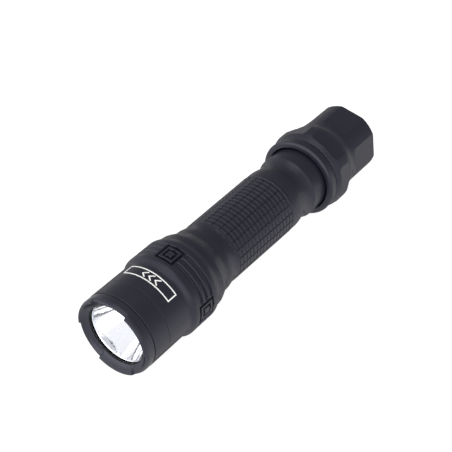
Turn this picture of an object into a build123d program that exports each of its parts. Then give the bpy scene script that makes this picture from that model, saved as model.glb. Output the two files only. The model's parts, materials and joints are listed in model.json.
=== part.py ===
from build123d import *
import os
from math import cos, pi, radians, sin

# Tactical flashlight, in millimetres, +Z up. It lies along Y, with its lens facing -Y and its tail
# switch at +Y. The origin is on its axis, where the head ring meets the head barrel.
# A turned piece is an outline of (radius, y) points on Plane.XY, revolved about Axis.Y.
# Threads are plain cylinders with a running clearance.

os.makedirs("parts", exist_ok=True)

# Head
head_r = 17.0
bezel_r = 16.9
crown_edge_y = -12.4
crown_tip_y = -13.55
crown_floor_y = -12.65
crown_count = 3
crown_clocking = 93
tooth_tip_r = 16.2
ramp_angle = 28
window_r = 13.2
window_y = -10.95
bezel_back_y = -8.25
bezel_skirt_y = -3.6
skirt_r = 15.5
skirt_bore_r = 14.05
seam_edge = 0.3
thread_gap = 0.05
groove_d = 0.75
bezel_groove = (-6.6, -5.4)

# Optics
lens_r = 13.9
lens_front_y = -10.2
lens_back_y = -8.4
lens_chamfer = 0.2
seal_t = 0.4
seal_r = 12.95
reflector_mouth_r = 13.0
reflector_hole_r = 3.6
reflector_back_y = 11.6
reflector_rim_r = 14.0
reflector_rim_t = 1.2
reflector_boss_r = 5.6

# Light engine
board_front_y = 12.0
board_back_y = 13.6
board_r = 8.0
board_notch_r = 1.5
led_side = 3.45
led_t = 0.8
led_gap = 0.15
dome_r = 1.5
gasket_lip_h = 0.7
pill_r = 14.4
pill_floor_t = 3.0
pill_back_y = 24.0
driver_front_y = 21.4
driver_back_y = 22.8
driver_r = 12.3
driver_ledge = 0.8
wire_x = 7.6
wire_r = 0.6
wire_hole_r = 1.1
# Each chip's x, z, width, height and thickness
chips = [
    (0, 5.5, 5.0, 4.0, 1.5),
    (-2.5, -5.5, 3.0, 3.0, 1.0),
    (3.0, -5.5, 4.0, 4.0, 2.4),
    (0, 0, 3.2, 1.6, 0.9),
]

# Head barrel and its ribbed collar
barrel_front_y = -3.4
barrel_straight_y = 11.6
barrel_ramp = (17.75, 13.1)
collar_r = 18.35
collar_front_y = 15.2
collar_shoulder_y = 26.4
barrel_shoulder = ((17.7, 29.0), (17.15, 31.2))
barrel_back_y = 32.6
barrel_back_r = 16.95
barrel_bore_r = 14.45
barrel_socket_r = 13.7
barrel_throat_r = 12.2
barrel_step_y = 25.2
rib_groove_y = (18.6, 21.5, 24.4)
rib_groove_w = 1.3
rib_groove_d = 0.6
pad_count = 4
pad_clocking = -3
pad_y = 20.9
pad_side = 8.0
pad_frame_side = 6.4
pad_inner_side = 4.3
pad_island_side = 2.9
pad_groove_floor_r = 17.35

# Body tube
tube_bore_r = 11.0
tube_front_y = 25.3
front_spigot_r = 13.65
front_groove = (30.5, 31.7)
flare = ((16.3, 35.0), (15.4, 37.0), (14.9, 38.5))
neck = ((14.87, 41.0), (14.33, 43.1), (14.08, 45.2))
waist = ((14.5, 88.5), (14.4, 91.0), (13.85, 94.0), (13.5, 96.2), (13.72, 98.2), (14.2, 99.7))
band_r = 14.75
band_front_y = 101.0
band_back_y = 108.3
lock_thread_r = 14.5
lock_thread_back_y = 113.65
rear_spigot_r = 13.6
rear_groove = (115.0, 116.5)
tube_back_y = 121.5
tube_chamfer = 0.4
grip_front_y = 47.0
grip_back_y = 85.3
grip_front_r = 14.22
grip_mid_r = 14.35
grip_back_r = 14.5
grip_step = 0.25
grip_ring_pitch = 2.28
grip_ring_first_y = 47.9
grip_ring_count = 17
grip_ring_w = 0.5
grip_groove_d = 0.4

# Battery: one protected 21700 cell with a raised contact
cell_r = 10.6
cell_wrap_t = 0.2
cell_front_y = 35.0
cell_back_y = 108.8
cell_button_y = 33.4
cell_button_r = 4.2
cell_edge = 0.6
insulator_r = 9.2
insulator_t = 0.4

# Tail
lock_ring_r = 17.7
lock_front_y = 108.4
lock_back_y = 113.6
lock_mouth_r = 15.2
lock_mouth_d = 2.4
lock_edge = 0.5
lock_slope = (1.3, 1.6)
ring_front_y = 113.75
ring_back_y = 124.8
ring_land_r = 18.8
ring_flat_r = 17.2
ring_flat_front_y = 116.2
ring_flat_count = 6
ring_clocking = 2.1
ring_bore_r = 15.0
ring_front_r = 17.45
ring_ramp = (18.3, 115.9)
ring_land_front_y = 117.6
ring_land_back_y = 122.9
ring_shoulder = (18.35, 123.9)
ring_back_r = 17.5
cap_skirt_r = 14.95
cap_bore_r = 13.65
cap_front_y = 113.9
cap_flange_y = 124.9
cap_flange_r = 17.2
cap_cone = ((16.9, 126.6), (16.25, 129.3))
cap_cone_back_y = 131.6
cap_r = 16.0
cap_back_r = 15.9
cap_rim = 0.7
cap_back_y = 148.8
cap_step_y = 122.3
chamber_r = 13.0
cap_wall_front_y = 140.7
cap_wall_back_y = 143.2
cap_hole_r = 7.3
cup_r = 12.5
panel_count = 5
panel_clocking = 7.9
panel_w = 11.9
panel_front_y = 132.1
panel_r = 14.85
panel_corner_r = 2.4
panel_length = 30

# Tail switch
retainer_front_y = 122.4
retainer_bore_r = 9.6
switch_board_front_y = 125.0
switch_board_back_y = 126.4
switch_board_r = 12.9
switch_side = 11.0
switch_back_y = 135.4
switch_well_y = 129.4
switch_well_r = 3.4
switch_lid_t = 1.0
plunger_r = 2.2
plunger_flange_r = 3.1
plunger_flange_front_y = 133.0
plunger_flange_t = 1.1
plunger_tip_y = 138.6
boot_r = 6.9
boot_t = 1.2
boot_roof_t = 1.6
boot_shoulder_r = 2.6
boot_gap = 0.35
boot_front_y = 140.9
boot_tip_y = 147.6
boot_flange_r = 12.6
boot_flange_front_y = 139.5
washer_front_y = 138.3


def outline(*points):
    """A closed outline of (radius, y) points, ready to revolve."""
    with BuildSketch(Plane.XY) as sketch:
        with BuildLine():
            Polyline(*points, close=True)
        make_face()
    return sketch.sketch


def tube(inner_r, outer_r, front_y, back_y):
    """The outline of a plain tube or, with an inner radius of 0, of a disc."""
    return outline((inner_r, front_y), (outer_r, front_y), (outer_r, back_y), (inner_r, back_y))


def o_ring(groove_r, bore_r, groove):
    """The outline of a ring that lies in a groove cut into a cylinder and just clears the bore round it."""
    return tube(groove_r - groove_d + 0.01, bore_r, groove[0] + 0.1, groove[1] - 0.1)


def facing(angle, y=0.0, out=0.0):
    """A plane facing outward at an angle about the axis, its local x along Y."""
    normal = (cos(radians(angle)), 0, sin(radians(angle)))
    return Plane(origin=(out * normal[0], y, out * normal[2]), x_dir=(0, 1, 0), z_dir=normal)


def across(y, turn=0.0):
    """A plane square to the axis at y, looking to the tail, its local x at an angle about the axis."""
    return Plane(origin=(0, y, 0), x_dir=(cos(radians(turn)), 0, sin(radians(turn))), z_dir=(0, 1, 0))


def keep(piece, name):
    """Label a finished piece and write its STEP file."""
    piece.part.label = name
    export_step(piece.part, f"parts/{name}.step")


# --- Strike bezel: a crown of three teeth, with a lip that holds the lens and a threaded skirt
bezel_lip_y = lens_front_y - seal_t
with BuildPart() as strike_bezel:
    revolve(
        outline(
            (skirt_bore_r, bezel_skirt_y),
            (skirt_r, bezel_skirt_y),
            (skirt_r, bezel_back_y),
            (bezel_r - seam_edge, bezel_back_y),
            (bezel_r, bezel_back_y - seam_edge),
            (bezel_r, crown_edge_y),
            (tooth_tip_r, crown_tip_y),
            (window_r, window_y),
            (window_r, bezel_lip_y),
            (skirt_bore_r, bezel_lip_y),
        ),
        axis=Axis.Y,
    )
    half_gap = 180 / crown_count / 2
    reach = 2 * bezel_r
    for k in range(crown_count):
        centre = crown_clocking + k * 360 / crown_count
        edges_at = [centre - half_gap, centre + half_gap]
        with BuildSketch(Plane(origin=(0, crown_floor_y, 0), x_dir=(1, 0, 0), z_dir=(0, -1, 0))):
            with BuildLine():
                corners = [(reach * cos(radians(a)), reach * sin(radians(a))) for a in edges_at]
                Polyline((0, 0), *corners, close=True)
            make_face()
        extrude(amount=crown_floor_y - crown_tip_y + 1, taper=-ramp_angle, mode=Mode.SUBTRACT)
    # The groove for the O-ring that seals the skirt
    revolve(tube(skirt_r - groove_d, skirt_r + 1, *bezel_groove), axis=Axis.Y, mode=Mode.SUBTRACT)
keep(strike_bezel, "strike_bezel")

with BuildPart() as bezel_o_ring:
    revolve(o_ring(skirt_r, skirt_r + 0.03, bezel_groove), axis=Axis.Y)
keep(bezel_o_ring, "bezel_o_ring")

# --- Head ring, a sleeve between the bezel and the barrel
with BuildPart() as head_ring:
    ring_front = bezel_back_y + 0.05
    ring_back = -0.03
    revolve(
        outline(
            (skirt_r + thread_gap, ring_front),
            (head_r - seam_edge, ring_front),
            (head_r, ring_front + seam_edge),
            (head_r, ring_back - seam_edge / 2),
            (head_r - seam_edge / 2, ring_back),
            (skirt_r + thread_gap, ring_back),
        ),
        axis=Axis.Y,
    )
keep(head_ring, "head_ring")

# --- Lens and its seal
with BuildPart() as lens_seal:
    revolve(tube(seal_r, lens_r, bezel_lip_y, lens_front_y), axis=Axis.Y)
keep(lens_seal, "lens_seal")

with BuildPart() as front_lens:
    revolve(tube(0, lens_r, lens_front_y, lens_back_y), axis=Axis.Y)
    chamfer(front_lens.edges(), lens_chamfer)
keep(front_lens, "front_lens")


# --- Reflector: a parabolic bowl with a rim under the lens and a boss on the LED gasket
def parabola(r_1, y_1, r_2, y_2, count=9):
    """Points along the parabola about the axis through two (radius, y) points."""
    depth = (y_2 - y_1) / (r_1**2 - r_2**2)
    radii = [r_1 + (r_2 - r_1) * i / (count - 1) for i in range(count)]
    return [(r, y_1 + depth * (r_1**2 - r**2)) for r in radii]


bowl = parabola(reflector_mouth_r, lens_back_y, reflector_hole_r, reflector_back_y)
boss_front_y = reflector_back_y - reflector_rim_t
back = parabola(reflector_rim_r, lens_back_y + reflector_rim_t, reflector_boss_r, boss_front_y)
with BuildPart() as reflector:
    with BuildSketch(Plane.XY):
        with BuildLine():
            Spline(*bowl)
            Line(bowl[-1], (reflector_boss_r, reflector_back_y))
            Line((reflector_boss_r, reflector_back_y), back[-1])
            Spline(*back)
            Line(back[0], (reflector_rim_r, lens_back_y))
            Line((reflector_rim_r, lens_back_y), bowl[0])
        make_face()
    revolve(axis=Axis.Y)
keep(reflector, "reflector")

# --- Light engine: gasket, LED, star board, pill, driver and leads
with BuildPart() as led_gasket:
    revolve(tube(0, reflector_boss_r, reflector_back_y, board_front_y), axis=Axis.Y)
    lip_r = reflector_hole_r - 0.1
    revolve(tube(0, lip_r, reflector_back_y - gasket_lip_h, reflector_back_y), axis=Axis.Y)
    with BuildSketch(across(reflector_back_y - 1)):
        Rectangle(led_side + led_gap, led_side + led_gap)
    extrude(amount=2, mode=Mode.SUBTRACT)
keep(led_gasket, "led_gasket")

led_front_y = board_front_y - led_t
with BuildPart() as led_package:
    with BuildSketch(across(led_front_y)):
        Rectangle(led_side, led_side)
    extrude(amount=led_t)
keep(led_package, "led_package")

with BuildPart() as led_dome:
    with BuildSketch(Plane.XY):
        with BuildLine():
            CenterArc((0, led_front_y), dome_r, -90, 90)
            Polyline((dome_r, led_front_y), (0, led_front_y), (0, led_front_y - dome_r))
        make_face()
    revolve(axis=Axis.Y)
keep(led_dome, "led_dome")

with BuildPart() as led_board:
    with BuildSketch(across(board_front_y)):
        Circle(board_r)
        with PolarLocations(board_r, 6):
            Circle(board_notch_r, mode=Mode.SUBTRACT)
    extrude(amount=board_back_y - board_front_y)
keep(led_board, "led_board")

pill_floor_y = board_back_y + pill_floor_t
with BuildPart() as led_pill:
    revolve(
        outline(
            (0, board_back_y),
            (pill_r, board_back_y),
            (pill_r, pill_back_y),
            (driver_r + thread_gap, pill_back_y),
            (driver_r + thread_gap, driver_front_y),
            (driver_r - driver_ledge, driver_front_y),
            (driver_r - driver_ledge, pill_floor_y),
            (0, pill_floor_y),
        ),
        axis=Axis.Y,
    )
    with BuildSketch(across(board_back_y)):
        with Locations((-wire_x, 0), (wire_x, 0)):
            Circle(wire_hole_r)
    extrude(amount=pill_floor_t, mode=Mode.SUBTRACT)
keep(led_pill, "led_pill")

with BuildPart() as driver_board:
    revolve(tube(0, driver_r, driver_front_y, driver_back_y), axis=Axis.Y)
keep(driver_board, "driver_board")

with BuildPart() as driver_components:
    for x, z, width, height, thickness in chips:
        with BuildSketch(Plane(origin=(x, driver_front_y, z), x_dir=(1, 0, 0), z_dir=(0, -1, 0))):
            Rectangle(width, height)
        extrude(amount=thickness)
keep(driver_components, "driver_components")

lead_y = board_front_y - wire_r - 0.03
for side, name in ((-1, "black_lead"), (1, "red_lead")):
    with BuildPart() as lead:
        with BuildLine() as route:
            FilletPolyline(
                (side * wire_x, driver_front_y),
                (side * wire_x, lead_y),
                (side * (reflector_boss_r + 0.2), lead_y),
                radius=1.0,
            )
        with BuildSketch(Plane(origin=(side * wire_x, driver_front_y, 0), z_dir=(0, -1, 0))):
            Circle(wire_r)
        sweep(path=route.line)
    keep(lead, name)


def coil(front_y, back_y, front_r, back_r, turns, coil_wire_r):
    """The centreline of a spring along the axis, wound from its front end to its back end."""
    height = back_y - front_y - 2 * coil_wire_r
    steps = int(turns * 12)
    points = []
    for i in range(steps + 1):
        share = i / steps
        radius = front_r + (back_r - front_r) * share
        angle = 2 * pi * turns * share
        y = front_y + coil_wire_r + height * share
        points.append((radius * cos(angle), y, radius * sin(angle)))
    return points


springs = {
    "front_spring": (driver_back_y, cell_button_y, 5.0, 2.6, 5, 0.4),
    "tail_spring": (cell_back_y, switch_board_front_y, 4.2, 7.2, 6, 0.5),
    "plunger_spring": (switch_well_y, plunger_flange_front_y, 2.7, 2.7, 4, 0.2),
}
for name, (front_y, back_y, front_r, back_r, turns, coil_wire_r) in springs.items():
    with BuildPart() as spring:
        with BuildLine() as route:
            Spline(*coil(front_y, back_y, front_r, back_r, turns, coil_wire_r))
        with BuildSketch(Plane(origin=route.line @ 0, z_dir=route.line % 0)):
            Circle(coil_wire_r)
        sweep(path=route.line, is_frenet=True)
    keep(spring, name)

# --- Head barrel: straight front, ribbed collar with four framed pads, and a rounded back edge
with BuildPart() as rib_grooves:
    for y in rib_groove_y:
        groove = tube(collar_r - rib_groove_d, collar_r + 1, y - rib_groove_w / 2, y + rib_groove_w / 2)
        revolve(groove, axis=Axis.Y)
    for k in range(pad_count):
        with BuildSketch(facing(pad_clocking + k * 360 / pad_count, y=pad_y)):
            Rectangle(2 * pad_side, pad_side + 1.6)
        extrude(amount=2 * collar_r, mode=Mode.SUBTRACT)

with BuildPart() as head_barrel:
    with BuildSketch(Plane.XY):
        with BuildLine():
            Polyline(
                (barrel_bore_r, barrel_front_y),
                (skirt_r, barrel_front_y),
                (skirt_r, 0),
                (head_r - seam_edge / 2, 0),
                (head_r, seam_edge / 2),
                (head_r, barrel_straight_y),
            )
            Spline(
                (head_r, barrel_straight_y),
                barrel_ramp,
                (collar_r, collar_front_y),
                tangents=((0, 1), (0, 1)),
            )
            Line((collar_r, collar_front_y), (collar_r, collar_shoulder_y))
            Spline((collar_r, collar_shoulder_y), *barrel_shoulder, tangents=((0, 1), (-0.05, 1)))
            Polyline(
                barrel_shoulder[-1],
                (barrel_back_r, barrel_back_y - seam_edge),
                (barrel_back_r - seam_edge, barrel_back_y),
                (barrel_socket_r, barrel_back_y),
                (barrel_socket_r, barrel_step_y),
                (barrel_throat_r, barrel_step_y),
                (barrel_throat_r, pill_back_y),
                (barrel_bore_r, pill_back_y),
                (barrel_bore_r, barrel_front_y),
            )
        make_face()
    revolve(axis=Axis.Y)
    add(rib_grooves.part, mode=Mode.SUBTRACT)
    for k in range(pad_count):
        with BuildSketch(facing(pad_clocking + k * 360 / pad_count, y=pad_y, out=pad_groove_floor_r)):
            Rectangle(pad_side, pad_side)
            Rectangle(pad_frame_side, pad_frame_side, mode=Mode.SUBTRACT)
            Rectangle(pad_inner_side, pad_inner_side)
            Rectangle(pad_island_side, pad_island_side, mode=Mode.SUBTRACT)
        extrude(amount=2, mode=Mode.SUBTRACT)
keep(head_barrel, "head_barrel")

with BuildPart() as head_o_ring:
    revolve(o_ring(front_spigot_r, front_spigot_r + 0.04, front_groove), axis=Axis.Y)
keep(head_o_ring, "head_o_ring")

# --- Body tube: flared front, checkered grip, waist and rear band
seam_y = barrel_back_y + 0.05
with BuildPart() as body_tube:
    with BuildSketch(Plane.XY):
        with BuildLine():
            Polyline(
                (tube_bore_r, tube_front_y),
                (front_spigot_r, tube_front_y),
                (front_spigot_r, front_groove[0]),
                (front_spigot_r - groove_d, front_groove[0]),
                (front_spigot_r - groove_d, front_groove[1]),
                (front_spigot_r, front_groove[1]),
                (front_spigot_r, seam_y),
                (barrel_back_r - seam_edge, seam_y),
                (barrel_back_r, seam_y + seam_edge),
            )
            Spline((barrel_back_r, seam_y + seam_edge), *flare, tangents=((-0.1, 1), (-0.2, 1)))
            Line(flare[-1], neck[0])
            Spline(*neck, tangents=((0, 1), (0, 1)))
            Polyline(
                neck[-1],
                (neck[-1][0], grip_front_y - grip_step),
                (grip_front_r, grip_front_y),
            )
            ThreePointArc(
                (grip_front_r, grip_front_y),
                (grip_mid_r, (grip_front_y + grip_back_y) / 2),
                (grip_back_r, grip_back_y),
            )
            Polyline(
                (grip_back_r, grip_back_y),
                (grip_back_r - 0.08, grip_back_y + grip_step),
                waist[0],
            )
            Spline(*waist, tangents=((0, 1), (0.45, 1)))
            Polyline(
                waist[-1],
                (band_r, band_front_y),
                (band_r, band_back_y),
                (lock_thread_r, band_back_y),
                (lock_thread_r, lock_thread_back_y),
                (rear_spigot_r, lock_thread_back_y),
                (rear_spigot_r, rear_groove[0]),
                (rear_spigot_r - groove_d, rear_groove[0]),
                (rear_spigot_r - groove_d, rear_groove[1]),
                (rear_spigot_r, rear_groove[1]),
                (rear_spigot_r, tube_back_y - tube_chamfer),
                (rear_spigot_r - tube_chamfer, tube_back_y),
                (tube_bore_r, tube_back_y),
                (tube_bore_r, tube_front_y),
            )
        make_face()
    revolve(axis=Axis.Y)
    # The rings of the checkering. Its straight grooves are as shallow, and are left to the finish.
    with BuildSketch(Plane.XY):
        for i in range(grip_ring_count):
            with Locations((grip_mid_r, grip_ring_first_y + i * grip_ring_pitch)):
                Rectangle(2 * grip_groove_d, grip_ring_w)
    revolve(axis=Axis.Y, mode=Mode.SUBTRACT)
keep(body_tube, "body_tube")

# --- Battery
with BuildPart() as battery_can:
    revolve(tube(0, cell_r, cell_front_y, cell_back_y), axis=Axis.Y)
    fillet(battery_can.edges(), cell_edge)
keep(battery_can, "battery_can")

with BuildPart() as battery_wrap:
    wrap_front_y = cell_front_y + cell_edge
    revolve(tube(cell_r, cell_r + cell_wrap_t, wrap_front_y, cell_back_y - cell_edge), axis=Axis.Y)
keep(battery_wrap, "battery_wrap")

with BuildPart() as battery_insulator:
    insulator_y = cell_front_y - insulator_t
    revolve(tube(cell_button_r + 0.1, insulator_r, insulator_y, cell_front_y), axis=Axis.Y)
keep(battery_insulator, "battery_insulator")

with BuildPart() as battery_button:
    revolve(tube(0, cell_button_r, cell_button_y, cell_front_y), axis=Axis.Y)
    fillet(battery_button.edges().sort_by(Axis.Y)[0], 0.5)
keep(battery_button, "battery_button")

# --- Tail rings
with BuildPart() as tail_o_ring:
    revolve(o_ring(rear_spigot_r, rear_spigot_r, rear_groove), axis=Axis.Y)
keep(tail_o_ring, "tail_o_ring")

with BuildPart() as lock_ring:
    revolve(
        outline(
            (lock_mouth_r, lock_front_y + lock_edge),
            (lock_mouth_r + lock_edge, lock_front_y),
            (lock_ring_r - lock_slope[0], lock_front_y),
            (lock_ring_r, lock_front_y + lock_slope[1]),
            (lock_ring_r, lock_back_y - seam_edge),
            (lock_ring_r - seam_edge, lock_back_y),
            (lock_thread_r + thread_gap, lock_back_y),
            (lock_thread_r + thread_gap, lock_front_y + lock_mouth_d),
            (lock_mouth_r, lock_front_y + lock_mouth_d),
        ),
        axis=Axis.Y,
    )
keep(lock_ring, "lock_ring")

with BuildPart() as anti_roll_ring:
    with BuildSketch(Plane.XY):
        with BuildLine():
            Line((ring_bore_r, ring_front_y), (ring_front_r, ring_front_y))
            ThreePointArc((ring_front_r, ring_front_y), ring_ramp, (ring_land_r, ring_land_front_y))
            Line((ring_land_r, ring_land_front_y), (ring_land_r, ring_land_back_y))
            ThreePointArc((ring_land_r, ring_land_back_y), ring_shoulder, (ring_back_r, ring_back_y))
            Polyline(
                (ring_back_r, ring_back_y),
                (ring_bore_r, ring_back_y),
                (ring_bore_r, ring_front_y),
            )
        make_face()
    revolve(axis=Axis.Y)
    flat_length = ring_back_y - ring_flat_front_y + 2
    flat_mid_y = ring_flat_front_y + flat_length / 2
    for k in range(ring_flat_count):
        with BuildSketch(facing(ring_clocking + k * 360 / ring_flat_count, y=flat_mid_y, out=ring_flat_r)):
            Rectangle(flat_length, 2 * ring_land_r)
        extrude(amount=3, mode=Mode.SUBTRACT)
keep(anti_roll_ring, "anti_roll_ring")

# --- Tail cap: threaded skirt, flange, six flat panels, and a cup around the switch boot
with BuildPart() as tail_cap:
    with BuildSketch(Plane.XY):
        with BuildLine():
            Polyline(
                (cap_bore_r, cap_front_y),
                (cap_skirt_r, cap_front_y),
                (cap_skirt_r, cap_flange_y),
                (cap_flange_r - seam_edge, cap_flange_y),
                (cap_flange_r, cap_flange_y + seam_edge),
            )
            Spline(
                (cap_flange_r, cap_flange_y + seam_edge),
                *cap_cone,
                (cap_r, cap_cone_back_y),
                tangents=((0, 1), (-0.03, 1)),
            )
            ThreePointArc(
                (cap_r, cap_cone_back_y),
                (cap_r - 0.03, (cap_cone_back_y + cap_back_y) / 2),
                (cap_back_r, cap_back_y - cap_rim),
            )
            RadiusArc(
                (cap_back_r, cap_back_y - cap_rim),
                (cap_back_r - cap_rim, cap_back_y),
                -cap_rim,
            )
            Polyline(
                (cap_back_r - cap_rim, cap_back_y),
                (cup_r + 0.4, cap_back_y),
                (cup_r, cap_back_y - 0.4),
                (cup_r, cap_wall_back_y),
                (cap_hole_r, cap_wall_back_y),
                (cap_hole_r, cap_wall_front_y),
                (chamber_r, cap_wall_front_y),
                (chamber_r, cap_step_y),
                (cap_bore_r, cap_step_y),
                (cap_bore_r, cap_front_y),
            )
        make_face()
    revolve(axis=Axis.Y)
    for k in range(panel_count):
        turn = panel_clocking + k * 360 / panel_count
        with BuildSketch(facing(turn, y=panel_front_y + panel_length / 2, out=panel_r)):
            RectangleRounded(panel_length, panel_w, panel_corner_r)
        extrude(amount=3, mode=Mode.SUBTRACT)
keep(tail_cap, "tail_cap")

# --- Tail switch
with BuildPart() as switch_retainer:
    revolve(tube(retainer_bore_r, chamber_r - 0.02, retainer_front_y, switch_board_front_y), axis=Axis.Y)
    with BuildSketch(across(retainer_front_y)):
        with PolarLocations((retainer_bore_r + chamber_r) / 2, 4):
            Circle(0.9)
    extrude(amount=1.5, mode=Mode.SUBTRACT)
keep(switch_retainer, "switch_retainer")

with BuildPart() as switch_board:
    revolve(tube(0, switch_board_r, switch_board_front_y, switch_board_back_y), axis=Axis.Y)
keep(switch_board, "switch_board")

with BuildPart() as switch_body:
    with BuildSketch(across(switch_board_back_y)):
        RectangleRounded(switch_side, switch_side, 1.0)
    extrude(amount=switch_back_y - switch_board_back_y)
    well_top_y = switch_back_y - switch_lid_t
    revolve(tube(0, switch_well_r, switch_well_y, well_top_y), axis=Axis.Y, mode=Mode.SUBTRACT)
    revolve(tube(0, plunger_r + 0.05, well_top_y, switch_back_y), axis=Axis.Y, mode=Mode.SUBTRACT)
keep(switch_body, "switch_body")

with BuildPart() as switch_plunger:
    flange_back_y = plunger_flange_front_y + plunger_flange_t
    revolve(tube(0, plunger_flange_r, plunger_flange_front_y, flange_back_y), axis=Axis.Y)
    revolve(tube(0, plunger_r, flange_back_y, plunger_tip_y), axis=Axis.Y)
keep(switch_plunger, "switch_plunger")

with BuildPart() as boot_washer:
    revolve(tube(cap_hole_r + 0.3, chamber_r - 0.05, washer_front_y, boot_flange_front_y), axis=Axis.Y)
keep(boot_washer, "boot_washer")

with BuildPart() as boot_flange:
    flange_bore_r = boot_r + boot_gap
    revolve(tube(flange_bore_r, boot_flange_r, boot_flange_front_y, cap_wall_front_y), axis=Axis.Y)
keep(boot_flange, "boot_flange")

with BuildPart() as switch_boot:
    with BuildSketch(Plane.XY):
        with BuildLine():
            shoulder_y = boot_tip_y - boot_shoulder_r
            inner_tip_y = boot_tip_y - boot_roof_t
            Polyline(
                (0, plunger_tip_y),
                (plunger_r, plunger_tip_y),
                (plunger_r, inner_tip_y),
                (boot_r - boot_t, inner_tip_y),
                (boot_r - boot_t, boot_front_y),
                (boot_r, boot_front_y),
                (boot_r, shoulder_y),
            )
            RadiusArc((boot_r, shoulder_y), (boot_r - boot_shoulder_r, boot_tip_y), -boot_shoulder_r)
            Polyline((boot_r - boot_shoulder_r, boot_tip_y), (0, boot_tip_y), (0, plunger_tip_y))
        make_face()
    revolve(axis=Axis.Y)
keep(switch_boot, "switch_boot")
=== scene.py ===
import json
from math import acos, cos, degrees, hypot, pi, radians, sin

import bpy
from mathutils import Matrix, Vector


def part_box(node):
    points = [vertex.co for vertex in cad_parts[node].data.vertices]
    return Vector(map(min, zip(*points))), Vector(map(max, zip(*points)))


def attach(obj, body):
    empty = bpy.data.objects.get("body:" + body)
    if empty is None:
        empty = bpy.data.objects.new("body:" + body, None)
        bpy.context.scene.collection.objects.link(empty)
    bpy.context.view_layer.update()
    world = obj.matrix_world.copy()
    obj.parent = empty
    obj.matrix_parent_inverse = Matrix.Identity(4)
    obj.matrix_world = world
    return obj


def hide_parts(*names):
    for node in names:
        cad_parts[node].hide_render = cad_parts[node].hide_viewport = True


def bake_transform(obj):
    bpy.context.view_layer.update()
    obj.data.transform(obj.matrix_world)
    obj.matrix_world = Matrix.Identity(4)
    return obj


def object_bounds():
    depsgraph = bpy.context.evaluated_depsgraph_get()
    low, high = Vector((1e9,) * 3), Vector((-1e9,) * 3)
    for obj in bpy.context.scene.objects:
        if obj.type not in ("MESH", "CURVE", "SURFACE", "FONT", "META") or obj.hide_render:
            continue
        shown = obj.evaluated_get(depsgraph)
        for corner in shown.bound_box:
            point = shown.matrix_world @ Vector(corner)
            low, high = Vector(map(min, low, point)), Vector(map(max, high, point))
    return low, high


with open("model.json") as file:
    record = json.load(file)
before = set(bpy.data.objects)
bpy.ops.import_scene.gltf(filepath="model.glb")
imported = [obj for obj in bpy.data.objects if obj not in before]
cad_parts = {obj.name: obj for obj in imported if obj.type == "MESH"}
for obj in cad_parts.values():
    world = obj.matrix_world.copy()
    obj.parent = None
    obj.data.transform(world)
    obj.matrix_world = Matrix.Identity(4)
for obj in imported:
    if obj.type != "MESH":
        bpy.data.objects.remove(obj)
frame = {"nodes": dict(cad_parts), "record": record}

# Tactical flashlight, lying along Y with its lens facing -Y. Pieces are worked out in millimetres
# and built in metres. A turned piece is a closed section of (radius, y, fillet) points swept round
# the Y axis, and what is milled into it changes the radius from place to place. Angles are in
# degrees round the Y axis, from +X towards +Z.

MM = 0.001
cad_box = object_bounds()


def low(node):
    """A CAD node's lowest corner, in millimetres."""
    return [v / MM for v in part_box(node)[0]]


def high(node):
    """A CAD node's highest corner, in millimetres."""
    return [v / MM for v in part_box(node)[1]]


# ---------------------------------------------------------------- sections

def rounded(points, steps=4):
    """A closed section with each corner rounded by its fillet, as steps + 1 points a corner."""
    longest = 0.45      # of the way to the next corner
    out = []
    for i, (r, y, fillet) in enumerate(points):
        if fillet == 0:
            out.append((r, y))
            continue
        here = Vector((r, y))
        before = Vector(points[i - 1][:2]) - here
        after = Vector(points[(i + 1) % len(points)][:2]) - here
        start = here + before.normalized() * min(fillet, longest * before.length)
        end = here + after.normalized() * min(fillet, longest * after.length)
        for k in range(steps + 1):
            t = k / steps
            out.append(tuple((1 - t) ** 2 * start + 2 * t * (1 - t) * here + t**2 * end))
    return out


def with_rows(section, rows):
    """The section with a point at each y of rows, wherever it runs towards the tail."""
    clear = 0.01
    out = []
    for i, p in enumerate(section):
        out.append(p)
        q = section[(i + 1) % len(section)]
        for y in sorted(rows):
            if p[1] + clear < y < q[1] - clear:
                t = (y - p[1]) / (q[1] - p[1])
                out.append((p[0] + (q[0] - p[0]) * t, y))
    return out


def smooth(t):
    """0 below 0, 1 above 1, and a smooth rise between."""
    t = min(max(t, 0.0), 1.0)
    return t * t * (3 - 2 * t)


def trench(distance, half_width, wall):
    """1 in the middle of a groove and 0 outside it, with sloping walls inside its half width."""
    return 1 - smooth((abs(distance) - half_width + wall) / wall)


def off(angle, centre, count):
    """How far an angle is from the nearest of count centres spread evenly round, in degrees."""
    pitch = 360 / count
    return (angle - centre + pitch / 2) % pitch - pitch / 2


def both_ways(distances):
    """Each distance to either side."""
    return [s * d for d in distances for s in (-1, 1)]


def around(step, centre=0.0, count=1, offsets=()):
    """Angles round the full turn, step degrees apart, with finer ones about each of count centres."""
    nearest = 0.3 * step
    extra = {round((centre + k * 360 / count + d) % 360, 3) for k in range(count) for d in offsets}
    even = {round(k * step, 3) for k in range(round(360 / step))}
    kept = sorted(extra)
    kept += [a for a in even if all(abs((a - b + 180) % 360 - 180) > nearest for b in extra)]
    return sorted(kept)


# ---------------------------------------------------------------- meshes

def add_piece(name, verts, faces, body, slot):
    """A smooth-shaded mesh with the finish of a record slot, riding on a body where one is named."""
    mesh = bpy.data.meshes.new(name)
    mesh.from_pydata(verts, [], faces)
    mesh.shade_smooth()
    mesh.materials.append(finishes[slot])
    piece = bpy.data.objects.new(name, mesh)
    bpy.context.scene.collection.objects.link(piece)
    if body:
        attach(piece, body)
    return piece


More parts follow.
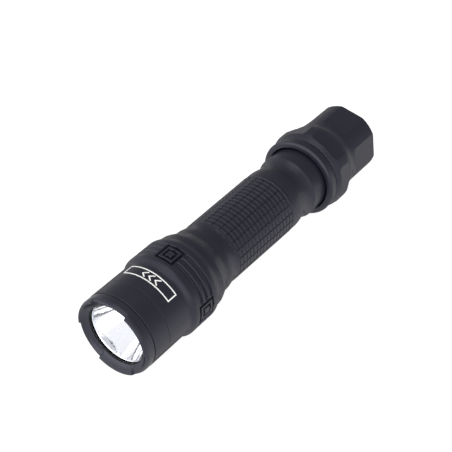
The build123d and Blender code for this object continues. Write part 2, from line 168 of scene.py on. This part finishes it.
def swept(name, section_at, angles, body, slot, nodes=()):
    """A ring whose closed section, a list of (radius, y) in mm, is given by a function of the angle."""
    verts = []
    for angle in angles:
        c = cos(radians(angle))
        s = sin(radians(angle))
        verts += [(r * c * MM, y * MM, r * s * MM) for r, y in section_at(angle)]
    count = len(verts) // len(angles)
    faces = []
    for i in range(len(angles)):
        j = (i + 1) % len(angles)
        for k in range(count):
            m = (k + 1) % count
            faces.append((i * count + k, j * count + k, j * count + m, i * count + m))
    piece = add_piece(name, verts, faces, body, slot)
    piece.modifiers.new("even_shading", "WEIGHTED_NORMAL").keep_sharp = True
    if nodes:
        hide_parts(*nodes)
    return piece


# ---------------------------------------------------------------- shader nodes

def nodes_of(name):
    """A new material, its node tree and its Principled shader."""
    material = bpy.data.materials.new(name)
    material.use_nodes = True
    tree = material.node_tree
    return material, tree, tree.nodes["Principled BSDF"]


def speckle(tree, scale, detail=2.0, stretch=(1, 1, 1)):
    """Noise in the object's own space, scale being its features per metre."""
    place = tree.nodes.new("ShaderNodeTexCoord")
    mapping = tree.nodes.new("ShaderNodeMapping")
    mapping.inputs["Scale"].default_value = stretch
    noise = tree.nodes.new("ShaderNodeTexNoise")
    noise.inputs["Scale"].default_value = scale
    noise.inputs["Detail"].default_value = detail
    tree.links.new(place.outputs["Object"], mapping.inputs["Vector"])
    tree.links.new(mapping.outputs["Vector"], noise.inputs["Vector"])
    return noise.outputs["Fac"]


def ranged(tree, value, before, after):
    """A value moved from one range to another, and held at its ends."""
    node = tree.nodes.new("ShaderNodeMapRange")
    node.inputs["From Min"].default_value, node.inputs["From Max"].default_value = before
    node.inputs["To Min"].default_value, node.inputs["To Max"].default_value = after
    tree.links.new(value, node.inputs["Value"])
    return node.outputs["Result"]


def spread(tree, noise, low_value, high_value):
    """Noise, which seldom leaves 0.3 to 0.7, as a number between two values."""
    return ranged(tree, noise, (0.3, 0.7), (low_value, high_value))


def blend_of(tree, factor, colour_a, colour_b):
    """Two colours mixed by a factor."""
    node = tree.nodes.new("ShaderNodeMix")
    node.data_type = "RGBA"
    node.inputs["A"].default_value = (*colour_a, 1)
    node.inputs["B"].default_value = (*colour_b, 1)
    tree.links.new(factor, node.inputs["Factor"])
    return node.outputs["Result"]


def bumped(tree, shader, height, strength, distance):
    """A shader's surface roughened by a height."""
    node = tree.nodes.new("ShaderNodeBump")
    node.inputs["Strength"].default_value = strength
    node.inputs["Distance"].default_value = distance
    tree.links.new(height, node.inputs["Height"])
    tree.links.new(node.outputs["Normal"], shader.inputs["Normal"])


# ---------------------------------------------------------------- materials

def finish(name, colour, roughness, metallic=0.0, vary=0.15, grain=2500, bump=0.15, coat=0.0,
           stretch=(1, 1, 1), depth=0.00004, rough_vary=0.06, gloss=0.5, tint=(1, 1, 1),
           edge_gloss=None):
    """A finish with cloudy colour variation, uneven roughness and a fine grained surface.

    vary is how far its colour strays, grain is its surface's features per metre, and bump and depth
    are how strongly they show. A matte finish has an edge_gloss: what its gloss falls to where the
    surface is seen edge on.
    """
    cloud_scale = 90
    nearly_edge_on = (0.4, 0.8)
    coat_roughness = 0.15
    material, tree, shader = nodes_of(name)
    darker = [c * (1 - vary) for c in colour]
    lighter = [c * (1 + vary) for c in colour]
    clouds = speckle(tree, cloud_scale, 4.0)
    tree.links.new(blend_of(tree, clouds, darker, lighter), shader.inputs["Base Color"])
    fine = speckle(tree, grain, 3.0, stretch)
    rough = spread(tree, fine, roughness - rough_vary, roughness + rough_vary)
    tree.links.new(rough, shader.inputs["Roughness"])
    bumped(tree, shader, fine, bump, depth)
    shader.inputs["Metallic"].default_value = metallic
    shader.inputs["Specular IOR Level"].default_value = gloss
    if edge_gloss is not None:
        facing = tree.nodes.new("ShaderNodeLayerWeight").outputs["Facing"]
        level = ranged(tree, facing, nearly_edge_on, (gloss, edge_gloss))
        tree.links.new(level, shader.inputs["Specular IOR Level"])
    shader.inputs["Specular Tint"].default_value = (*tint, 1)
    shader.inputs["Coat Weight"].default_value = coat
    shader.inputs["Coat Roughness"].default_value = coat_roughness
    return material


def lens_glass():
    """Clear glass with the faint violet and red sheen of its coating, and a little dust."""
    material, tree, shader = nodes_of("lens_glass")
    shader.inputs["Base Color"].default_value = (0.97, 0.98, 1.0, 1)
    shader.inputs["Transmission Weight"].default_value = 1.0
    shader.inputs["IOR"].default_value = 1.45
    shader.inputs["Thin Film Thickness"].default_value = 420
    shader.inputs["Thin Film IOR"].default_value = 1.38
    dust = speckle(tree, 900, 3.0)
    tree.links.new(spread(tree, dust, 0.0, 0.015), shader.inputs["Roughness"])
    return material


def led_phosphor():
    """Yellow phosphor seen through a clear silicone dome."""
    material, tree, shader = nodes_of("led_phosphor")
    grains = speckle(tree, 6000, 2.0)
    yellow = blend_of(tree, grains, (0.75, 0.55, 0.05), (0.95, 0.78, 0.18))
    tree.links.new(yellow, shader.inputs["Base Color"])
    shader.inputs["Roughness"].default_value = 0.12
    shader.inputs["Coat Weight"].default_value = 1.0
    return material


cool_tint = (0.87, 0.9, 1.0)
finishes = {
    "anodised_black": finish("anodised_black", (0.010, 0.010, 0.0175), 0.35, vary=0.10, grain=3800,
                             bump=0.2, gloss=0.345, tint=cool_tint, edge_gloss=0.012),
    "bezel_black": finish("bezel_black", (0.0105, 0.0105, 0.018), 0.3, vary=0.10, grain=3000,
                          bump=0.12, gloss=0.4, tint=cool_tint, edge_gloss=0.06),
    "lens_glass": lens_glass(),
    "reflector_mirror": finish("reflector_mirror", (0.93, 0.93, 0.94), 0.05, 1.0, 0.01, 260, 0.3,
                               depth=0.0001, rough_vary=0.02),
    "black_rubber": finish("black_rubber", (0.012, 0.012, 0.013), 0.75, vary=0.2, grain=5000, bump=0.3),
    "white_plastic": finish("white_plastic", (0.8, 0.8, 0.78), 0.5, vary=0.03, grain=3000, bump=0.1),
    "led_ceramic": finish("led_ceramic", (0.75, 0.74, 0.7), 0.45, vary=0.04, grain=6000, bump=0.1),
    "led_phosphor": led_phosphor(),
    "copper": finish("copper", (0.72, 0.36, 0.22), 0.3, 1.0, 0.1, 2000, 0.1),
    "raw_aluminium": finish("raw_aluminium", (0.62, 0.62, 0.64), 0.3, 1.0, 0.06, 1500, 0.2,
                            stretch=(1, 8, 1)),
    "circuit_board": finish("circuit_board", (0.015, 0.12, 0.05), 0.35, vary=0.25, grain=1500, bump=0.3),
    "chip_black": finish("chip_black", (0.02, 0.02, 0.02), 0.55, vary=0.1, grain=5000),
    "gold_spring": finish("gold_spring", (0.83, 0.58, 0.22), 0.22, 1.0, 0.08, bump=0.1),
    "cell_can": finish("cell_can", (0.6, 0.6, 0.61), 0.25, 1.0, 0.06, 1800, 0.1),
    "cell_wrap": finish("cell_wrap", (0.01, 0.08, 0.3), 0.28, vary=0.06, grain=900, coat=0.4),
    "red_wire": finish("red_wire", (0.45, 0.01, 0.01), 0.45, vary=0.08, grain=4000, bump=0.1),
    "black_wire": finish("black_wire", (0.015, 0.015, 0.015), 0.45, vary=0.08, grain=4000, bump=0.1),
    "switch_plastic": finish("switch_plastic", (0.03, 0.03, 0.033), 0.5, vary=0.1, grain=4000),
    "switch_shaft": finish("switch_shaft", (0.72, 0.72, 0.7), 0.4, vary=0.03, grain=4000, bump=0.1),
}
for subpart in frame["record"]["subparts"]:
    node = frame["nodes"][subpart["node"]]
    node.data.materials.clear()
    node.data.materials.append(finishes[subpart["material_slot"]])


# ---------------------------------------------------------------- strike bezel

def build_bezel():
    """The crown: a shallow dish whose rim has three teeth, with steps down to the sectors between."""
    back_y = low("head_ring")[1] - 0.05
    skirt_y = high("strike_bezel")[1]
    tip_y = low("strike_bezel")[1]
    outer_r = high("strike_bezel")[0]
    lip_y = low("lens_seal")[1]
    seat_r = 14.05
    skirt_r = 15.5
    window_r = 13.2
    window_y = lip_y - 0.35
    behind = [(seat_r, skirt_y, 0), (skirt_r, skirt_y, 0.2), (skirt_r, back_y, 0),
              (outer_r - 0.2, back_y, 0.05), (outer_r, back_y - 0.45, 0.25)]
    tooth = [(outer_r, -12.2, 0.5), (16.3, tip_y, 0.3), (15.7, tip_y, 0.15), (14.3, -11.75, 0.8)]
    gap = [(outer_r, -11.5, 0.5), (16.35, -12.6, 0.22), (15.9, -12.6, 0.15), (14.6, -11.55, 0.8)]
    inside = [(window_r, window_y, 0.12), (window_r, lip_y, 0), (seat_r, lip_y, 0)]
    tooth_section = rounded(behind + tooth + inside)
    gap_section = rounded(behind + gap + inside)
    teeth = 3
    gap_centre = 93
    half_gap = 29.5
    ramp = 1.6
    ramp_start = half_gap - ramp / 2

    def section(angle):
        t = smooth((abs(off(angle, gap_centre, teeth)) - ramp_start) / ramp)
        return [(a[0] + (b[0] - a[0]) * t, a[1] + (b[1] - a[1]) * t)
                for a, b in zip(gap_section, tooth_section)]

    fine = both_ways([ramp_start + 0.2 * k for k in range(-1, 14)])
    angles = around(1.5, gap_centre, teeth, fine)
    swept("bezel_crown", section, angles, "light", "bezel_black", ["strike_bezel"])


# ---------------------------------------------------------------- head ring

def build_head_ring():
    """A plain sleeve with fine joints at its ends."""
    front_y = low("head_ring")[1]
    back_y = high("head_ring")[1]
    outer_r = high("head_ring")[0]
    bore_r = 15.55
    section = rounded([(bore_r, back_y, 0), (bore_r, front_y, 0), (outer_r, front_y, 0.3),
                       (outer_r, back_y, 0.25)])
    swept("head_sleeve", lambda angle: section, around(1.5), "light", "anodised_black", ["head_ring"])


# ---------------------------------------------------------------- head barrel

def build_barrel():
    """Straight front, collar with ribs and four framed square pads, and a rounded back edge."""
    front_y = low("head_barrel")[1]
    back_y = high("head_barrel")[1]
    head_r = high("head_ring")[0]
    collar_r = 18.35
    spigot_r = 15.5
    bore_r = 14.45
    bore_end_y = 24.0
    hole_r = 12.2
    socket_r = 13.7
    socket_end_y = 25.2
    outline = [
        (bore_r, front_y, 0), (spigot_r, front_y, 0.1), (spigot_r, 0, 0), (head_r, 0, 0.25),
        (head_r, 12.5, 0.7), (collar_r, 14.6, 0.7), (collar_r, 27.4, 0.8), (17.2, 30.4, 0.5),
        (17.0, back_y, 0.1), (socket_r, back_y, 0), (socket_r, socket_end_y, 0),
        (hole_r, socket_end_y, 0), (hole_r, bore_end_y, 0), (bore_r, bore_end_y, 0),
    ]
    collar_front_y = 15.5
    collar_back_y = 26.6
    skin_r = 16.5       # what lies beyond it is the outside
    grooves = [18.6, 21.5, 24.4]
    groove_half = 1.0
    groove_depth = 1.0
    groove_wall = 0.7
    pads = 4
    clocking = -3
    pad_y = 20.9
    frame_groove = (3.8, 0.6)       # its centreline from the pad's middle, and its half width
    island_groove = (1.85, 0.5)
    pad_depth = 1.4
    pad_wall = 0.14
    clear_half = 5.0        # the ribs stop here beside a pad
    rib_fade = 0.25
    groove_steps = both_ways([0, 0.2, 0.35, 0.5, 0.65, 0.8, 0.95, 1.1])
    rows = {round(g + d, 3) for g in grooves for d in groove_steps}
    steps = []
    for middle, half in (frame_groove, island_groove):
        steps += [middle + d for d in both_ways([half + 0.1, half, half - pad_wall / 2, half - pad_wall])]
    steps += [clear_half - rib_fade, clear_half, clear_half + 0.15, 0.5, 1.0, 2.8]
    rows |= {round(pad_y + d, 3) for d in both_ways(steps)}
    base = with_rows(rounded(outline, 6), rows)

    def section(angle):
        across = radians(off(angle, clocking, pads)) * collar_r
        out = []
        for r, y in base:
            if r > skin_r and collar_front_y < y < collar_back_y:
                ribbed = smooth((abs(across) - clear_half + rib_fade) / rib_fade)
                rib = max(trench(y - g, groove_half, groove_wall) for g in grooves) * ribbed
                square = max(abs(across), abs(y - pad_y))
                pad = max(trench(square - middle, half, pad_wall)
                          for middle, half in (frame_groove, island_groove))
                r -= max(rib * groove_depth, pad * pad_depth)
            out.append((r, y))
        return out

    angles = around(2, clocking, pads, [degrees(d / collar_r) for d in both_ways(steps)])
    swept("head_shell", section, angles, "light", "anodised_black", ["head_barrel"])


# ---------------------------------------------------------------- body tube

def build_tube():
    """Flared front, a grip with rows of shallow blocks, a waist, and the band under the tail rings."""
    front_y = low("body_tube")[1]
    back_y = high("body_tube")[1]
    seam_y = high("head_barrel")[1] + 0.05
    bore_r = 11.0
    thread_r = 13.65
    seal_r = 12.9
    seal_front_y = 30.5
    seal_back_y = 31.7
    grip_r = 14.22
    band_r = 14.75
    band_back_y = 108.3
    land_r = 14.6
    land_back_y = 113.65
    tail_thread_r = 13.6
    outline = [
        (bore_r, front_y, 0), (thread_r, front_y, 0.1), (thread_r, seal_front_y, 0),
        (seal_r, seal_front_y, 0), (seal_r, seal_back_y, 0), (thread_r, seal_back_y, 0),
        (thread_r, seam_y, 0), (16.98, seam_y, 0.08), (16.92, 33.3, 0.12), (16.3, 35.0, 0.8),
        (15.4, 37.0, 0.8), (14.88, 38.3, 0.7), (14.87, 41.0, 0.9), (14.08, 44.6, 1.0), (14.08, 46.7, 0),
        (grip_r, 46.95, 0), (14.54, 85.4, 0.12), (14.3, 85.7, 0.1), (14.45, 88.2, 1.5),
        (14.35, 91.2, 1.5), (13.5, 95.0, 1.2), (13.55, 97.6, 1.2), (14.1, 99.6, 0.4),
        (band_r, 100.9, 0.12), (band_r, band_back_y, 0.1), (land_r, band_back_y, 0),
        (land_r, land_back_y, 0), (tail_thread_r, land_back_y, 0), (tail_thread_r, back_y, 0.4),
        (bore_r, back_y, 0),
    ]
    skin_r = 13.9       # what lies beyond it is the outside
    rings = 17
    pitch = 2.28
    first_y = 47.9
    last_y = first_y + (rings - 1) * pitch
    ring_half = 0.33
    ring_wall = 0.22
    lines = 24
    line_half = 0.3
    line_wall = 0.2
    line_reach = 0.4        # past the first and the last ring
    line_fade = 0.3
    depth = 0.36
    ring_steps = both_ways([0.1, 0.2, 0.27, 0.33, 0.42])
    rows = {round(first_y + i * pitch + d, 3) for i in range(rings) for d in [0] + ring_steps}
    rows |= {round(first_y + (i + 0.5) * pitch, 3) for i in range(rings)}
    base = with_rows(rounded(outline, 6), rows)

    def section(angle):
        across = radians(off(angle, 0, lines)) * grip_r
        line = trench(across, line_half, line_wall)
        out = []
        for r, y in base:
            if r > skin_r and first_y - 0.5 < y < last_y + 0.5:
                from_ring = (y - first_y + pitch / 2) % pitch - pitch / 2
                ring = trench(from_ring, ring_half, ring_wall)
                inside = smooth((y - first_y + line_reach) / line_fade)
                inside *= smooth((last_y + line_reach - y) / line_fade)
                r -= depth * max(ring, line * inside)
            out.append((r, y))
        return out

    fine = [0] + both_ways([degrees(d / grip_r) for d in (0.1, 0.2, 0.3, 0.42, 0.9, 1.4)])
    swept("grip_tube", section, around(7.5, 0, lines, fine), "light", "anodised_black", ["body_tube"])


# ---------------------------------------------------------------- tail rings

def build_lock_ring():
    """A plain ring with a nearly flat front and a rounded edge."""
    front_y = low("lock_ring")[1] + 0.5
    back_y = high("lock_ring")[1]
    outer_r = high("lock_ring")[0]
    seat_r = 14.65
    mouth_r = 15.2
    mouth_end_y = front_y + 1.6
    edge = 0.4
    section = rounded([
        (seat_r, back_y, 0), (seat_r, mouth_end_y, 0), (mouth_r, mouth_end_y, 0),
        (mouth_r, front_y + 0.3, 0.05), (15.45, front_y, 0.05), (17.0, front_y + 0.25, 0.4),
        (17.95, front_y + 0.9, 0.5), (outer_r, front_y + 2.4, 0.5), (outer_r, back_y - edge, 0.15),
        (outer_r - edge, back_y, 0),
    ], 5)
    swept("lock_collar", lambda angle: section, around(1.5), "light", "anodised_black", ["lock_ring"])


def build_anti_roll_ring():
    """A ring with sloping ends and six flats milled into it from behind, with a raised land between."""
    front_y = low("anti_roll_ring")[1]
    back_y = high("anti_roll_ring")[1]
    bore_r = 15.0
    land_r = 18.8
    outline = [
        (bore_r, back_y, 0), (bore_r, front_y, 0), (17.1, front_y, 0), (17.55, front_y + 0.4, 0.1),
        (18.3, 116.0, 0.2), (land_r, 117.6, 0.2), (land_r, 122.9, 0.35), (17.6, back_y - 0.25, 0.3),
        (17.1, back_y, 0.2),
    ]
    skin_r = 16.0       # what lies beyond it is the outside
    flats = 6
    clocking = 2.1
    flat_r = 17.2
    flat_front_y = 116.75
    wall_slope = 2.5        # of a flat's front wall, in radius over length
    soft = 0.06     # how far from an edge its rounding starts
    rows = [115.6 + 0.1 * k for k in range(14)] + [117.2 + 0.4 * k for k in range(18)]
    base = with_rows(rounded(outline, 5), rows)

    def section(angle):
        flat = flat_r / cos(radians(off(angle, clocking, flats)))
        out = []
        for r, y in base:
            if r > skin_r:
                cut = flat + max(flat_front_y - y, 0) * wall_slope
                r = min(r, cut) - max(0, soft - abs(r - cut)) ** 2 / (4 * soft)
            out.append((r, y))
        return out

    edge = degrees(acos(flat_r / land_r))
    fine = both_ways([edge + d for d in (-3, -1.6, -1.0, -0.6, -0.3, 0, 0.3, 0.6, 1.0, 1.6)])
    angles = around(1.5, clocking, flats, fine)
    swept("faceted_ring", section, angles, "tail_ring", "anodised_black", ["anti_roll_ring"])


# ---------------------------------------------------------------- tail cap

def build_tail_cap():
    """Flange, cone and a cylinder with five flat panels that have rounded front corners."""
    front_y = low("tail_cap")[1]
    back_y = high("tail_cap")[1]
    flange_y = high("anti_roll_ring")[1] + 0.1
    thread_r = 13.0
    thread_front_y = 122.3
    skirt_bore_r = 13.65
    skirt_r = 14.95
    shelf_front_y = 140.7
    shelf_back_y = 143.2
    boot_hole_r = 7.3
    cup_r = 12.5
    cap_r = 16.0
    outline = [
        (thread_r, thread_front_y, 0), (skirt_bore_r, thread_front_y, 0), (skirt_bore_r, front_y, 0),
        (skirt_r, front_y, 0.2), (skirt_r, flange_y, 0), (17.2, flange_y, 0.2), (17.0, 126.4, 0.9),
        (16.1, 129.6, 1.0), (cap_r, 132.0, 1.0), (cap_r, back_y, 0.5), (cup_r, back_y, 0.35),
        (cup_r, shelf_back_y, 0.3), (boot_hole_r, shelf_back_y, 0.3), (boot_hole_r, shelf_front_y, 0),
        (thread_r, shelf_front_y, 0),
    ]
    skin_r = 14.4       # what lies beyond it is the outside
    panels = 5
    clocking = 7.9
    panel_r = 14.85
    panel_front_y = 132.1
    panel_half = 6.1
    corner = 2.6
    wall = 0.35
    rows = [panel_front_y + 0.12 * k for k in range(-2, 26)] + [136, 138, 140, 142, 144, 146, 147.5]
    base = with_rows(rounded(outline, 5), rows)

    def section(angle):
        turn = off(angle, clocking, panels)
        across = radians(turn) * cap_r
        flat = panel_r / cos(radians(turn))
        out = []
        for r, y in base:
            if r > skin_r and y > panel_front_y - 0.6:
                dx = max(abs(across) - panel_half + corner, 0)
                dy = max(panel_front_y + corner - y, 0)
                r -= max(r - flat, 0) * smooth((corner - hypot(dx, dy)) / wall)
            out.append((r, y))
        return out

    corner_steps = (3.4, 3.8, 4.2, 4.5, 4.8, 5.1, 5.3, 5.5, 5.7, 5.85, 5.95, 6.05, 6.2)
    angles = around(2, clocking, panels, both_ways([degrees(d / cap_r) for d in corner_steps]))
    swept("tail_shell", section, angles, "tail_cap", "anodised_black", ["tail_cap"])


# ---------------------------------------------------------------- switch

def build_boot():
    """One rubber skin: a clamped flange, a soft side wall that folds in, and a ribbed dome."""
    flange_front = low("boot_flange")[1]
    flange_back = high("boot_flange")[1]
    tip_y = high("switch_boot")[1]
    wall = 1.2
    flange_r = 12.5
    outer_r = 6.9
    ribs = [(4.0, 0.25), (3.4, 0), (2.6, 0.25), (2.0, 0), (1.2, 0.25)]
    middle_r = 0.02     # the skin closes to a pinhole on the axis
    outline = [(flange_r, flange_front, 0), (flange_r, flange_back, 0), (outer_r + 0.3, flange_back, 0.25),
               (outer_r - 0.15, flange_back + 0.9, 0.4), (outer_r, tip_y, 2.4)]
    outline += [(r, tip_y - dip, 0.1) for r, dip in ribs]
    outline += [(middle_r, tip_y - 0.05, 0), (middle_r, tip_y - wall, 0),
                (outer_r - wall, tip_y - wall, 1.5), (outer_r - wall, flange_front, 0)]
    section = with_rows(rounded(outline, 5), [flange_back + 0.4 * k for k in range(12)])
    boot = swept("rubber_boot", lambda angle: section, around(4), None, "black_rubber")
    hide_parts("switch_boot", "boot_flange")
    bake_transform(boot)


def build_plunger_spring():
    """A coil between the switch body and the plunger's flange."""
    front_y = low("plunger_spring")[1]
    back_y = high("plunger_spring")[1]
    wire_r = 0.2
    coil_r = high("plunger_spring")[0] - wire_r
    turns = 4
    per_turn = 24
    sides = 8
    count = turns * per_turn
    verts = []
    faces = [tuple(reversed(range(sides)))]
    for i in range(count + 1):
        turn = 2 * pi * i / per_turn
        y = front_y + wire_r + (back_y - front_y - 2 * wire_r) * i / count
        for k in range(sides):
            r = coil_r + wire_r * cos(2 * pi * k / sides)
            up = wire_r * sin(2 * pi * k / sides)
            verts.append((r * cos(turn) * MM, (y + up) * MM, r * sin(turn) * MM))
            if i < count:
                here = i * sides + k
                there = i * sides + (k + 1) % sides
                faces.append((here, there, there + sides, here + sides))
    faces.append(tuple(range(count * sides, count * sides + sides)))
    coil = add_piece("plunger_coil", verts, faces, None, "cell_can")
    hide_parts("plunger_spring")
    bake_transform(coil)


# ---------------------------------------------------------------- reflector

def build_reflector():
    """A smooth parabolic bowl with a rim under the lens, in a body that follows it."""
    mouth_r = 13.0
    hole_r = 3.6
    boss_r = 5.6
    rim_r = high("reflector")[0]
    mouth_y = low("reflector")[1]
    back_y = high("reflector")[1]
    rim_t = 1.2
    bowl_count = 48
    body_count = 12
    depth = (back_y - mouth_y) / (mouth_r**2 - hole_r**2)
    section = []
    for k in range(bowl_count + 1):
        r = mouth_r + (hole_r - mouth_r) * k / bowl_count
        section.append((r, mouth_y + depth * (mouth_r**2 - r**2)))
    section += [(boss_r, back_y), (boss_r, back_y - rim_t)]
    rim_y = mouth_y + rim_t
    body_depth = (back_y - rim_t - rim_y) / (rim_r**2 - boss_r**2)
    for k in range(1, body_count + 1):
        r = boss_r + (rim_r - boss_r) * k / body_count
        section.append((r, rim_y + body_depth * (rim_r**2 - r**2)))
    section.append((rim_r, mouth_y))
    swept("mirror_bowl", lambda angle: section, around(1.5), "light", "reflector_mirror", ["reflector"])


# ---------------------------------------------------------------- printed mark

def build_mark():
    """A plain outlined bar with three chevrons, printed on the head barrel.

    Its strokes run between (u, y) points, u being the distance round the head.
    """
    head_r = 17.0
    print_t = 0.03
    sunk = 0.1
    half_stroke = 0.25
    longest_step = 0.6
    bar_start = 13.0
    bar_end = 36.0
    bar_front_y = 5.4
    bar_back_y = 9.9
    chevrons = (20.5, 23.5, 26.5)
    chevron_depth = 1.6
    chevron_y = (6.3, 7.65, 9.0)
    corners = [(bar_start, bar_front_y), (bar_start, bar_back_y), (bar_end, bar_back_y),
               (bar_end, bar_front_y)]
    strokes = [(corners[i - 1], corners[i]) for i in range(4)]
    for u in chevrons:
        point = (u + chevron_depth, chevron_y[1])
        strokes += [((u, chevron_y[0]), point), (point, (u, chevron_y[2]))]
    top_r = head_r + print_t
    bottom_r = head_r - sunk
    verts = []
    faces = []
    for (u0, y0), (u1, y1) in strokes:
        length = hypot(u1 - u0, y1 - y0)
        du = (u1 - u0) / length * half_stroke
        dy = (y1 - y0) / length * half_stroke
        count = max(1, round(length / longest_step))
        for k in range(count + 1):
            u = u0 - du + (u1 - u0 + 2 * du) * k / count
            y = y0 - dy + (y1 - y0 + 2 * dy) * k / count
            for side, r in ((-1, bottom_r), (-1, top_r), (1, top_r), (1, bottom_r)):
                turn = (u - side * dy) / head_r
                verts.append((r * cos(turn) * MM, (y + side * du) * MM, r * sin(turn) * MM))
            base = len(verts) - 4
            if k:
                for m in range(4):
                    n = (m + 1) % 4
                    faces.append((base - 4 + m, base - 4 + n, base + n, base + m))
            if k in (0, count):
                faces.append((base, base + 1, base + 2, base + 3))
    mark = add_piece("head_mark", verts, faces, "light", "white_plastic")
    mark.data.shade_flat()


build_bezel()
build_head_ring()
build_barrel()
build_tube()
build_lock_ring()
build_anti_roll_ring()
build_tail_cap()
build_boot()
build_plunger_spring()
build_reflector()
build_mark()


# ---------------------------------------------------------------- studio

def aimed(obj, target):
    """An object turned so that its -Z points at the target."""
    direction = Vector(target) - obj.location
    obj.rotation_euler = direction.to_track_quat("-Z", "Y").to_euler()


def area_light(name, place, target, size, power):
    """A white rectangular light."""
    data = bpy.data.lights.new(name, "AREA")
    data.shape = "RECTANGLE"
    data.size, data.size_y = size
    data.energy = power
    light = bpy.data.objects.new(name, data)
    bpy.context.scene.collection.objects.link(light)
    light.location = place
    aimed(light, target)


def build_floor():
    """A pale floor that glows under the flashlight, and less far from it."""
    floor_z = cad_box[0][2]
    half = 3.0
    glow_reach = (0.3, 1.0)
    glow = (0.93, 0.4)
    corners = [(x * half, y * half, floor_z) for x, y in ((-1, -1), (1, -1), (1, 1), (-1, 1))]
    mesh = bpy.data.meshes.new("floor")
    mesh.from_pydata(corners, [], [(0, 1, 2, 3)])
    floor = bpy.data.objects.new("floor", mesh)
    bpy.context.scene.collection.objects.link(floor)
    material, tree, shader = nodes_of("pale_floor")
    shader.inputs["Base Color"].default_value = (0.2, 0.2, 0.2, 1)
    shader.inputs["Roughness"].default_value = 0.9
    shader.inputs["Specular IOR Level"].default_value = 0.0
    shader.inputs["Emission Color"].default_value = (1, 1, 1, 1)
    place = tree.nodes.new("ShaderNodeTexCoord")
    reach = tree.nodes.new("ShaderNodeVectorMath")
    reach.operation = "LENGTH"
    tree.links.new(place.outputs["Object"], reach.inputs[0])
    fade = ranged(tree, reach.outputs["Value"], glow_reach, glow)
    tree.links.new(fade, shader.inputs["Emission Strength"])
    mesh.materials.append(material)


def build_surround():
    """A white surround, bright in front of the lens and dimmer overhead and behind."""
    overhead = ((0.1, 0.7), (1.0, 0.68))        # height of the direction, and its strength
    behind = ((-0.35, 0.85), (1.6, 0.35))
    ahead = ((-0.7, -0.35), (2.2, 1.0))
    world = bpy.data.worlds.new("surround")
    bpy.context.scene.world = world
    world.use_nodes = True
    tree = world.node_tree
    background = tree.nodes["Background"]
    place = tree.nodes.new("ShaderNodeTexCoord")
    parts = tree.nodes.new("ShaderNodeSeparateXYZ")
    tree.links.new(place.outputs["Generated"], parts.inputs["Vector"])
    strength = ranged(tree, parts.outputs["Z"], *overhead)
    for before, after in (behind, ahead):
        along = ranged(tree, parts.outputs["Y"], before, after)
        both = tree.nodes.new("ShaderNodeMath")
        both.operation = "MULTIPLY"
        tree.links.new(strength, both.inputs[0])
        tree.links.new(along, both.inputs[1])
        strength = both.outputs["Value"]
    tree.links.new(strength, background.inputs["Strength"])
    background.inputs["Color"].default_value = (1, 1, 1, 1)


def build_camera():
    """A long lens, looking down along the flashlight from its right front."""
    azimuth = radians(36.8)
    elevation = radians(39.43)
    distance = 0.4573
    aim = Vector((-0.00543, 0.06447, 0.0))
    away = Vector((sin(azimuth) * cos(elevation), -cos(azimuth) * cos(elevation), sin(elevation)))
    data = bpy.data.cameras.new("camera")
    data.lens = 87.97
    data.sensor_width = 36
    data.clip_start = 0.01
    camera = bpy.data.objects.new("camera", data)
    bpy.context.scene.collection.objects.link(camera)
    camera.location = aim + away * distance
    aimed(camera, aim)
    bpy.context.scene.camera = camera


build_floor()
build_surround()
area_light("overhead", (0, 0.05, 1.3), (0, 0.06, 0), (1.0, 1.0), 3)
area_light("rear_strip", (-0.2, 1.3, 0.1), (0, 0.08, 0), (0.6, 0.15), 0.35)
build_camera()
bpy.context.scene.view_settings.view_transform = "Standard"
